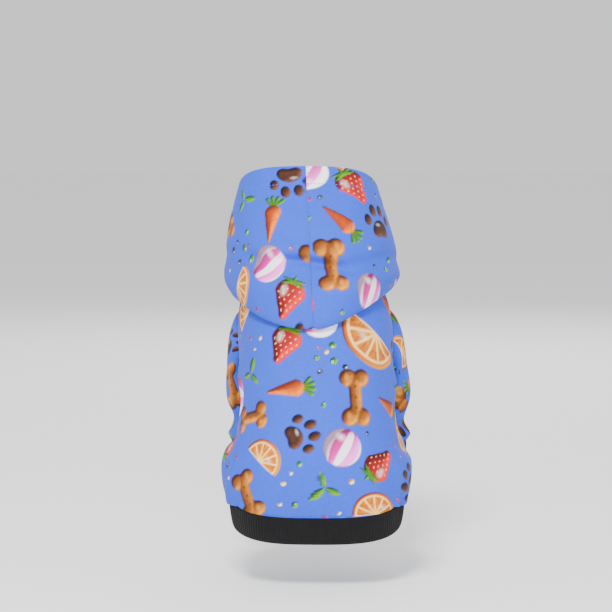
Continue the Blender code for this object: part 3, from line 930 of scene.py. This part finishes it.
def body_panel(name, angle, along, folds, seed, placed):
    """A body panel: its smooth form, raised by folds, gathers and slack and sunk at its seams."""
    form = lean(body_point(angle, along))
    normals = body_normal(angle, along)
    middle = form.shape[1] // 2
    across, down = run_across(form, middle), run_down(form, len(form) - 1)
    to_side = np.minimum(across - across[:, :1], across[:, -1:] - across)
    to_waist = down[0] - down
    to_seam = np.minimum(np.minimum(to_side, to_waist), down)
    cloth = bpy.context.scene.hoodie_cloth
    raised = fold_relief(across, down, folds, cloth.fold_share) + hang_waves(across, down, cloth.slack)
    raised = raised * free_of(to_seam)
    raised += gathers(across, to_waist, BODY_GATHERS, cloth.gather_depth) * free_of(to_side)
    raised += seam_dip(to_seam)
    outer = form + normals * raised[..., None]
    motifs = lay_out(seed, (across.min(), down.min()), (across.max(), down.max()), placed)
    # The wall thins in the blouse's fold at the flanks, which leaves it no room.
    low = 1 - free_of(to_waist - TUCK_HEIGHT[0], TUCK_HEIGHT[1])
    tucked = low * free_of(np.abs(np.sin(angle)) - TUCK_FLANK[0], TUCK_FLANK[1])
    sunk = raised - lowest_near(raised, False)
    sunk = sunk * (1 - tucked) - FLEECE * TUCK_DEPTH * tucked
    node = name.removesuffix("_cloth")
    obj = cloth_piece(name, node, outer, across, down, motifs, normals, sunk, tucked=tucked)


def sleeve_end(turn, side, width, low):
    """A level ring round the sleeve's axis. Turn 0 is its outer side and a quarter turn its front."""
    ring = np.stack([side * np.cos(turn), np.sin(turn), np.zeros_like(turn)], axis=-1)
    return ring * width / 2 + (side * SLEEVE_OUT, SLEEVE_FORWARD, -low)


def sleeve_form(side, folds):
    """Cubic curves that leave the armhole outwards and bend down to the cuff seam, with bunched rings."""
    turn = np.linspace(0, 2 * math.pi, SLEEVE_COLUMNS + 1)[:-1]
    half_along = (ARMHOLE_LENGTH / 2 - SEAM_GAP) / BACK_LENGTH
    half_angle = (ARMHOLE_WIDTH / 2 - SEAM_GAP / 2) / chest_radius()
    along = ARMHOLE_PLACE + half_along * np.sin(turn)
    angle = math.radians(SIDE_SEAM_ANGLE) - half_angle * np.cos(turn)
    out = body_normal(angle, along)
    root = (body_point(angle, along) - out * FLEECE) * (side, 1, 1)
    out = out * (side, 1, 1)
    end = sleeve_end(turn, side, SLEEVE_END_WIDTH, SLEEVE_DROP)
    outside = root + out * (FLEECE + UNDERARM_CLEARANCE)
    length = np.linalg.norm(end - outside, axis=-1, keepdims=True)
    high = (0.5 + 0.5 * np.sin(turn))[:, None]
    fullness = UNDERARM_FULLNESS + (SLEEVE_FULLNESS - UNDERARM_FULLNESS) * high
    first = outside + unit(out - (0, 0, 0.5) * high) * fullness
    last = end + np.array((0, 0, 1.0)) * SLEEVE_STRAIGHT * length
    t = np.linspace(0, 1, SLEEVE_ROWS)[:, None, None]
    form = (1 - t) ** 3 * outside + 3 * (1 - t) ** 2 * t * first + 3 * (1 - t) * t * t * last + t**3 * end
    axis = form.mean(axis=1, keepdims=True)
    down = SLEEVE_FOLDS["down"]
    depth = smooth(down, folds, np.clip(t, down[0], down[-1]))
    fade = free_of(t, SLEEVE_FOLDS_FADE[0]) * free_of(1 - t, SLEEVE_FOLDS_FADE[1])
    form = form + unit(form - axis) * depth * fade * SLEEVE_END_WIDTH
    lift = np.linspace(0, 1, 4)[:-1, None, None]
    return np.concatenate([root + (outside - root) * lift, form])


def hood_rim(angle):
    """The rim: a boxy oval about the neck, high at the sides, lower at the nape and dipping at the throat."""
    throat = np.clip((np.degrees(angle) - THROAT_START) / (180 - THROAT_START), 0, 1)
    nape = np.cos(angle / 2) ** 6
    rise = HOOD_RISE * (1 - RIM_NAPE_DIP * nape - RIM_THROAT_DIP * throat**1.6)
    back = squared(np.cos(angle), RIM_SQUARENESS)
    forward = -HOOD_RIM_DEPTH / 2 * back - HOOD_RIM_BACK * (1 - throat)
    x = HOOD_RIM_WIDTH / 2 * squared(np.sin(angle), RIM_SQUARENESS)
    return x[:, None] * (1, 0, 0) + forward[:, None] * TO_FRONT + rise[:, None] * UP_NECK


def hood_lines(angle, side):
    """Points down the hood for each angle: along the back, round the fold and up to the rim."""
    rim = hood_rim(angle)
    seam = body_point(angle, 1.0)
    twisted = angle + side * math.radians(HOOD_TWIST)
    lies = np.clip((UPRIGHT_END - np.degrees(angle)) / (UPRIGHT_END - UPRIGHT_START), 0, 1)
    lies = (lies * lies * (3 - 2 * lies))[:, None]
    at_back = (0.5 + 0.5 * np.cos(twisted)) ** 3
    hang = HOOD_HANG * ((1 - POUCH_SIDES) * at_back + POUCH_SIDES * lies[:, 0])
    upright = seam + UP_NECK * SEAM_GAP
    rows = []
    for down, share in zip(HOOD_UNDER["down"], HOOD_UNDER["front_share"]):
        along = 1 - down * hang / BACK_LENGTH
        off = SEAM_GAP + (HOOD_CLEARANCE - SEAM_GAP) * min(1, down / HOOD_UNDER["down"][1])
        if down == 1.0:
            off = HOOD_CLEARANCE + POUCH_FOLD
        lying = body_point(angle, along) + body_normal(angle, along) * off
        if down == 1.0:
            lying = lying - UP_NECK * POUCH_FOLD * POUCH_DROOP
        rows.append((lying, upright + (rim - upright) * share))
    fold_along = 1 - POUCH_PLACE * hang / BACK_LENGTH
    out = body_normal(angle, fold_along)
    fold = body_point(angle, fold_along) + out * (HOOD_CLEARANCE + 2 * POUCH_FOLD)
    chord = rim - fold
    away = out - chord * (np.sum(out * chord, axis=1) / np.sum(chord**2, axis=1))[:, None]
    at_side = (np.sin(angle) ** 2)[:, None]
    for up, back, flank, share in zip(*HOOD_OUTER.values()):
        bulge = (back + (flank - back) * at_side) * HOOD_BULGE
        slant = 4 * up * (1 - up) * HOOD_SLANT * side * np.sin(angle)[:, None]
        lying = fold + chord * (up - slant) + unit(away) * bulge
        rows.append((lying, upright + (rim - upright) * share))
    return np.array([front + (lying - front) * lies for lying, front in rows])


def in_seam_plane(directions):
    """Directions along the two seams, the first and last columns, have no sideways part."""
    directions = directions.copy()
    directions[..., (0, -1), 0] = 0
    return unit(directions)


def hood_form(side):
    """A smooth curve down each line of the hood, then the rim's turned hem. Also the rim's row."""
    angle = np.linspace(0, math.pi, HOOD_COLUMNS)
    lines = hood_lines(angle, side)
    places = np.arange(len(lines))
    spans = [np.linspace(i, i + 1, n, endpoint=False) for i, n in enumerate(HOOD_SPANS)]
    at = np.append(np.concatenate(spans), places[-1])
    lines_at = [smooth(places, lines[:, c, k], at) for c in range(HOOD_COLUMNS) for k in range(3)]
    form = np.array(lines_at).reshape(HOOD_COLUMNS, 3, len(at)).transpose(2, 0, 1)
    radius = FLEECE + HEM_SLACK
    up = in_seam_plane(form[-1] - form[-2])
    inward = in_seam_plane(-np.cross(np.gradient(form[-1], axis=0), up))
    centre = form[-1] + inward * radius
    turn = np.radians(np.linspace(0, 180, 9)[1:])[:, None, None]
    hem = centre - inward * radius * np.cos(turn) + up * radius * np.sin(turn)
    lower = hem[-1] - up * HOOD_HEM * np.linspace(0, 1, 13)[1:, None, None]
    form = np.concatenate([form, hem, lower]) * (side, 1, 1)
    return form, len(at) - 1


def trimmed(grid):
    """The grid with its rows respaced evenly, along straight lines, to one more than whole steps."""
    rows = (len(grid) - 1) // COARSE_STEP * COARSE_STEP + 1
    at = np.linspace(0, len(grid) - 1, rows)
    low = np.minimum(at.astype(int), len(grid) - 2)
    part = (at - low)[:, None, None]
    return grid[low] * (1 - part) + grid[low + 1] * part


def run_along(path):
    """Running distance along a path, from its start."""
    return np.concatenate([[0], np.cumsum(np.linalg.norm(np.diff(path, axis=0), axis=1))])


def read_at(at, run, path):
    """The path's points, or what else is given for each of them, at the running distances `at`."""
    return np.stack([np.interp(at, run, path[:, k]) for k in range(3)], axis=-1)


def ribbed_band(name, node, ring, axis_down, height, taper):
    """A doubled rib: a strip round a ring that turns over at its lower edge, with ridges by a cosine."""
    rib = bpy.context.scene.hoodie_rib
    dense = ring(np.linspace(0, 2 * math.pi, 4001))
    run = run_along(dense)
    ribs = round(run[-1] / rib.spacing)
    at = np.linspace(0, run[-1], ribs * RIB_POINTS + 1)[:-1]
    path = read_at(at, run, dense)
    middle = path.mean(axis=0)
    out = unit(np.cross(np.roll(path, -1, axis=0) - np.roll(path, 1, axis=0), -axis_down))
    outside, inside = 12, 8
    edge, radius = np.linspace(0, math.pi, 7), RIB_KNIT / 2
    fall = np.linspace(0, height - radius, outside + 1)[:-1]
    climb = np.linspace(height - radius, 0, inside + 1)[1:]
    depth = np.concatenate([fall, height - radius + radius * np.sin(edge), climb])
    off = np.concatenate([np.zeros(outside), radius - radius * np.cos(edge), np.full(inside, RIB_KNIT)])
    face = np.concatenate([np.ones(outside), np.cos(edge), -np.ones(inside)])
    share = np.clip(depth / height, 0, 1)
    full = np.sin(share * math.pi) * BAND_FULLNESS
    ridge = np.cos(np.arange(len(path)) * 2 * math.pi / RIB_POINTS) * rib.depth
    faded = free_of(depth, RIB_END)
    puffed = -off[:, None] + face[:, None] * (full[:, None] + ridge[None] * faded[:, None])
    narrow = 1 - (1 - taper) * share
    grid = middle + (path[None] - middle) * narrow[:, None, None] + axis_down * depth[:, None, None]
    grid = grid + out[None] * puffed[..., None]
    index = index_grid(len(grid), len(path), 0, True)
    faces = [quads_of(index)[:, ::-1], quads_of(np.stack([index[-1], index[0]]))[:, ::-1]]
    flat = np.stack(np.broadcast_arrays(at[None], depth[:, None]), axis=-1).reshape(-1, 2)
    obj = object_from(name, grid.reshape(-1, 3), faces, rib_knit(), None, flat)
    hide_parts(node)
    return obj, run[-1]


def stitches(name, path, normals):
    """A row of stitches: each is a short spindle that lies on the path, with its ends sunk in the cloth."""
    run = run_along(path)
    count = int(run[-1] / STITCH_SPACING)
    starts = (np.arange(count) + 0.5) * STITCH_SPACING
    along = np.linspace(-0.5, 0.5, 7)
    at = starts[:, None] + along * STITCH_LENGTH
    centre = read_at(at, run, path)
    out = unit(read_at(at, run, normals))
    side = np.cross(out, unit(np.gradient(centre, axis=1)))
    turn = np.linspace(0, 2 * math.pi, 7)[:-1]
    thick = STITCH_RADIUS * np.sqrt(np.clip(1 - (along * 2 * 0.985) ** 4, 0, 1))
    lift = STITCH_RADIUS * (0.45 - 1.2 * (np.abs(along) * 2) ** 3)
    ring = np.cos(turn)[:, None] * side[:, :, None] + np.sin(turn)[:, None] * out[:, :, None]
    points = centre[:, :, None] + ring * thick[:, None, None] + out[:, :, None] * lift[:, None, None]
    index = np.arange(points.size // 3).reshape(points.shape[:3])
    closed = np.concatenate([index, index[:, :, :1]], axis=2)
    faces = [quads_of(closed), index[:, 0, ::-1], index[:, -1]]
    obj = object_from(name, points.reshape(-1, 3), faces, thread())


# Settings


class HoodieCloth(bpy.types.PropertyGroup):
    ground: bpy.props.FloatVectorProperty(
        name="Ground", description="Colour of the plain cloth", subtype="COLOR", size=3,
        default=tuple(colour_of("#274DCF")),
    )
    reverse: bpy.props.FloatVectorProperty(
        name="Reverse", description="Colour of the cloth's unprinted face", subtype="COLOR", size=3,
        default=tuple(colour_of("#C9D2E8")),
    )
    thread: bpy.props.FloatVectorProperty(
        name="Thread", description="Colour of the sewing thread", subtype="COLOR", size=3,
        default=tuple(colour_of("#2F58DC")),
    )
    motif_gap: bpy.props.FloatProperty(
        name="Motif gap", description="Least plain cloth between two motifs", default=0.0020, unit="LENGTH",
    )
    drops_per_area: bpy.props.FloatProperty(
        name="Drops", description="Small drops thrown at each square metre of cloth", default=420.0,
    )
    ink_spread: bpy.props.FloatProperty(
        name="Ink spread", description="Width over which a motif's edge fades", default=0.0010, unit="LENGTH",
    )
    fold_share: bpy.props.FloatProperty(
        name="Folds", description="Height of the cloth's folds, as a share of the built ones", default=1.0,
    )
    gather_depth: bpy.props.FloatProperty(
        name="Gathers", description="Depth of the pleats at the waistband", default=0.0011, unit="LENGTH",
    )
    slack: bpy.props.FloatProperty(
        name="Slack", description="Depth of the cloth's wide unevenness", default=0.0009, unit="LENGTH",
    )
    nap_strength: bpy.props.FloatProperty(
        name="Nap", description="Strength of the fleece's fine relief", default=0.28,
    )


class HoodieRib(bpy.types.PropertyGroup):
    colour: bpy.props.FloatVectorProperty(
        name="Rib", description="Colour of the ribbing", subtype="COLOR", size=3,
        default=tuple(colour_of("#111112")),
    )
    spacing: bpy.props.FloatProperty(
        name="Rib spacing", description="Distance between two ridges", default=0.0034, unit="LENGTH",
    )
    depth: bpy.props.FloatProperty(
        name="Rib depth", description="Height of a ridge above the middle of the knit", default=0.00028,
        unit="LENGTH",
    )


class HoodieStage(bpy.types.PropertyGroup):
    floor_drop: bpy.props.FloatProperty(
        name="Floor drop", description="Floor below the waistband's lowest point", default=0.054,
        unit="LENGTH",
    )
    azimuth: bpy.props.FloatProperty(
        name="Azimuth", description="Camera's turn to the right, from straight behind", subtype="ANGLE",
        default=math.radians(1.2),
    )
    elevation: bpy.props.FloatProperty(
        name="Elevation", description="Camera's height angle", default=math.radians(5.0), subtype="ANGLE",
    )
    distance: bpy.props.FloatProperty(
        name="Distance", description="Camera to the middle of the view", default=3.0, unit="LENGTH",
    )
    view_width: bpy.props.FloatProperty(
        name="View width", description="Width that the picture takes in at the hoodie", default=0.7344,
        unit="LENGTH",
    )


class HOODIE_OT_body(bpy.types.Operator):
    """Builds the back and belly panels"""

    bl_idname = "hoodie.body"
    bl_label = "Body panels"

    def execute(self, context):
        seam = math.radians(SIDE_SEAM_ANGLE)
        along = panel_rows(*BACK_ROWS)
        edge = seam - (armhole_half(along) + SEAM_GAP / 2) / chest_radius()
        angle = edge[:, None] * np.linspace(-1, 1, BACK_COLUMNS)
        body_panel("back_panel_cloth", angle, along[:, None], BACK_FOLDS, 5, [WIDE_WEDGE])
        along = panel_rows(*BELLY_ROWS)
        edge = seam + (armhole_half(along) + SEAM_GAP / 2) / chest_radius()
        angle = math.pi + (math.pi - edge[:, None]) * np.linspace(-1, 1, BELLY_COLUMNS)
        body_panel("belly_panel_cloth", angle, along[:, None], {}, 23, [])
        return {"FINISHED"}


class HOODIE_OT_sleeves(bpy.types.Operator):
    """Builds both sleeves"""

    bl_idname = "hoodie.sleeves"
    bl_label = "Sleeves"

    def execute(self, context):
        cloth = context.scene.hoodie_cloth
        for name, side, seed in (("left", -1, 31), ("right", 1, 47)):
            form = sleeve_form(side, SLEEVE_FOLDS[name])
            half = form.shape[1] // 2
            form = np.roll(form[:, ::-1] if side > 0 else form, half, axis=1)
            form = lean(form)
            normals = grid_normals(form, closed=True)
            whole = np.concatenate([form, form[:, :1]], axis=1)
            across, down = run_across(whole, half)[:, :-1], -run_down(form, 0)
            from_cuff = run_down(form, len(form) - 1)
            to_seam = np.minimum(down, down[-1] - down)
            place = np.linspace(0, 2 * math.pi, form.shape[1], endpoint=False)[None]
            share = down / down[-1]
            waves, middle, reach, height = SLEEVE_RINGS.values()
            ring = np.sin(share * waves + 1.6 * np.sin(place * 2 + side))
            ring = ring * np.exp(-(((share - middle) / reach) ** 2)) * (0.6 + 0.4 * np.cos(place - 1.0))
            raised = ring * height * free_of(to_seam)
            raised = raised + gathers(across, down[-1] - down, SLEEVE_GATHERS, cloth.gather_depth * 0.8)
            raised = raised + seam_dip(to_seam, 0.0006)
            outer = form + normals * raised[..., None]
            motifs = lay_out(seed, (across.min(), 0), (across.max(), from_cuff.max()))
            normals[-1] = unit(normals[-1] * (1, 1, 0))
            sunk = raised - lowest_near(raised, True)
            sunk[0] = sunk[-1] = 0
            flat = whole_steps(outer, across, from_cuff, normals, motifs, sunk)
            obj = cloth_piece(f"sleeve_{name}_cloth", f"sleeve_{name}", *flat, closed=True)
        return {"FINISHED"}


def whole_steps(outer, across, down, normals, motifs, sunk):
    """What cloth_piece takes, with each grid's rows respaced."""
    across, down, sunk = (trimmed(values[..., None])[..., 0] for values in (across, down, sunk))
    return trimmed(outer), across, down, motifs, unit(trimmed(normals)), sunk


class HOODIE_OT_hood(bpy.types.Operator):
    """Builds both halves of the hood"""

    bl_idname = "hoodie.hood"
    bl_label = "Hood"

    def execute(self, context):
        cloth = context.scene.hoodie_cloth
        for name, side, seed in (("left", -1, 71), ("right", 1, 83)):
            form, rim_row = hood_form(side)
            form[..., 0] += side * SEAM_GAP / 2
            form = lean(form if side > 0 else form[:, ::-1])
            normals = in_seam_plane(grid_normals(form))
            seam_column = 0 if side > 0 else form.shape[1] - 1
            across, down = run_across(form, seam_column), run_down(form, rim_row)
            to_side = np.minimum(across - across[:, :1], across[:, -1:] - across)
            outside = free_of(down, 0.012) * free_of(UNDER_LAYER - down, 0.03)
            raised = fold_relief(across, down, HOOD_FOLDS, cloth.fold_share)
            raised = raised + hang_waves(across, down, cloth.slack * 0.8)
            raised = raised * outside * free_of(HOOD_FOLDS_END - np.abs(across), 0.03)
            raised = raised + seam_dip(to_side, 0.0011) * outside
            raised = raised + seam_dip(down - HOOD_HEM, 0.0006, 0.0022) * outside
            outer = form + normals * raised[..., None]
            past = 0.03
            motifs = lay_out(seed, (across.min() - past, -past), (across.max() + past, down.max()))
            normals = in_seam_plane(grid_normals(outer))
            start, reach = RIM_MEASURE
            front = free_of(np.abs(across[rim_row]) - start, reach)
            across = across * (1 - front) + across[rim_row] * front
            sunk = raised - lowest_near(raised, False)
            sunk[:, (0, -1)] = 0
            flat = whole_steps(outer, across, down, normals, motifs, sunk)
            obj = cloth_piece(f"hood_{name}_cloth", f"hood_{name}", *flat)
            self.topstitch(name, outer, down, normals)
        return {"FINISHED"}

    def topstitch(self, name, outer, down, normals):
        """A row of stitches round the rim, where the turned hem ends inside."""
        row = np.argmax(down <= HOOD_HEM, axis=0)
        column = np.arange(outer.shape[1])
        above, below = down[row - 1, column], down[row, column]
        part = ((above - HOOD_HEM) / (above - below))[:, None]
        path = outer[row - 1, column] * (1 - part) + outer[row, column] * part
        stitches(f"hood_stitches_{name}", path, normals[row, column])


class HOODIE_OT_ribbing(bpy.types.Operator):
    """Builds the waistband and both cuffs"""

    bl_idname = "hoodie.ribbing"
    bl_label = "Ribbing"

    def execute(self, context):
        slope = math.radians(BODY_SECTIONS["slope"][0])
        down = np.array([0.0, math.sin(slope), -math.cos(slope)])

        def waist(angle):
            return body_point(angle, 0.0) + down * SEAM_GAP

        band, girth = ribbed_band(
            "waistband_rib", "waistband", waist, down, WAISTBAND_HEIGHT, WAISTBAND_TAPER,
        )
        for name, side in (("left", -1), ("right", 1)):

            def wrist(angle):
                return sleeve_end(angle * side, side, SLEEVE_END_WIDTH * CUFF_SHARE, SLEEVE_DROP + SEAM_GAP)

            straight_down = np.array([0.0, 0.0, -1.0])
            cuff, girth = ribbed_band(
                f"cuff_{name}_rib", f"cuff_{name}", wrist, straight_down, CUFF_HEIGHT, CUFF_TAPER,
            )
        return {"FINISHED"}


class HOODIE_OT_stage(bpy.types.Operator):
    """Builds the floor, the lights and the camera"""

    bl_idname = "hoodie.stage"
    bl_label = "Stage"

    def execute(self, context):
        self.floor(context.scene.hoodie_stage)
        self.lights()
        self.camera(context.scene.hoodie_stage)
        return {"FINISHED"}

    def floor(self, stage):
        material, tree = new_material("studio paper, pale")
        shader = add_node(
            tree, "ShaderNodeBsdfPrincipled", {},
            {"Base Color": (*colour_of("#FCFCFC"), 1), "Roughness": 0.95, "Specular IOR Level": 0.1},
        )
        add_node(tree, "ShaderNodeOutputMaterial", {}, {}, {"Surface": shader.outputs["BSDF"]})
        low, reach = CAD_BOX[0][2] - stage.floor_drop, 14.0
        corners = [(x * reach, y * reach, low) for x, y in ((-1, -1), (1, -1), (1, 1), (-1, 1))]
        mesh = bpy.data.meshes.new("floor")
        mesh.from_pydata(corners, [], [(0, 1, 2, 3)])
        mesh.materials.append(material)
        floor = bpy.data.objects.new("floor", mesh)
        bpy.context.scene.collection.objects.link(floor)

    def lights(self):
        world = bpy.data.worlds.new("studio")
        bpy.context.scene.world = world
        world.use_nodes = True
        world.node_tree.nodes["Background"].inputs["Color"].default_value = (1.0, 1.0, 1.0, 1)
        world.node_tree.nodes["Background"].inputs["Strength"].default_value = 0.95
        softboxes = (
            ("key", (-0.35, -2.25, 1.95), 0.7, 122.0),
            ("fill", (0.35, -2.8, 0.25), 0.8, 42.0),
            ("front", (0.3, 2.6, 1.6), 2.0, 45.0),
        )
        for name, place, size, power in softboxes:
            data = bpy.data.lights.new(name, "AREA")
            data.shape = "SQUARE"
            data.size = size
            data.energy = power
            lamp = bpy.data.objects.new(name, data)
            bpy.context.scene.collection.objects.link(lamp)
            lamp.location = place
            aim(lamp, np.array([0.0, -0.02, -0.05]))

    def camera(self, stage):
        data = bpy.data.cameras.new("photo view")
        camera = bpy.data.objects.new("photo view", data)
        bpy.context.scene.collection.objects.link(camera)
        middle = np.array([-0.0145, 0.0, -0.035])
        az, el = stage.azimuth, stage.elevation
        back = np.array([math.sin(az) * math.cos(el), -math.cos(az) * math.cos(el), math.sin(el)])
        camera.location = middle + back * stage.distance
        aim(camera, middle)
        data.sensor_width = 36.0
        data.lens = data.sensor_width * stage.distance / stage.view_width
        bpy.context.scene.camera = camera


def aim(obj, target):
    """Turns a lamp or camera, which look along their own -Z, towards a point."""
    obj.rotation_euler = (Vector(target) - obj.location).to_track_quat("-Z", "Y").to_euler()


class HOODIE_PT_sidebar(bpy.types.Panel):
    bl_label = "Dog Hoodie"
    bl_idname = "HOODIE_PT_sidebar"
    bl_space_type = "VIEW_3D"
    bl_region_type = "UI"
    bl_category = "Hoodie"

    def draw(self, context):
        for step in STEPS:
            self.layout.operator(step)
        for name in ("hoodie_cloth", "hoodie_rib", "hoodie_stage"):
            settings = getattr(context.scene, name)
            box = self.layout.box()
            for key in settings.__annotations__:
                box.prop(settings, key)


STEPS = ("hoodie.body", "hoodie.sleeves", "hoodie.hood", "hoodie.ribbing", "hoodie.stage")
CLASSES = (
    HoodieCloth, HoodieRib, HoodieStage,
    HOODIE_OT_body, HOODIE_OT_sleeves, HOODIE_OT_hood, HOODIE_OT_ribbing, HOODIE_OT_stage,
    HOODIE_PT_sidebar,
)


def register():
    for cls in CLASSES:
        bpy.utils.register_class(cls)
    bpy.types.Scene.hoodie_cloth = bpy.props.PointerProperty(type=HoodieCloth)
    bpy.types.Scene.hoodie_rib = bpy.props.PointerProperty(type=HoodieRib)
    bpy.types.Scene.hoodie_stage = bpy.props.PointerProperty(type=HoodieStage)


def unregister():
    del bpy.types.Scene.hoodie_stage
    del bpy.types.Scene.hoodie_rib
    del bpy.types.Scene.hoodie_cloth
    for cls in reversed(CLASSES):
        bpy.utils.unregister_class(cls)


def main():
    register()
    for step in STEPS:
        group, name = step.split(".")
        getattr(getattr(bpy.ops, group), name)()


if __name__ == "__main__":
    main()
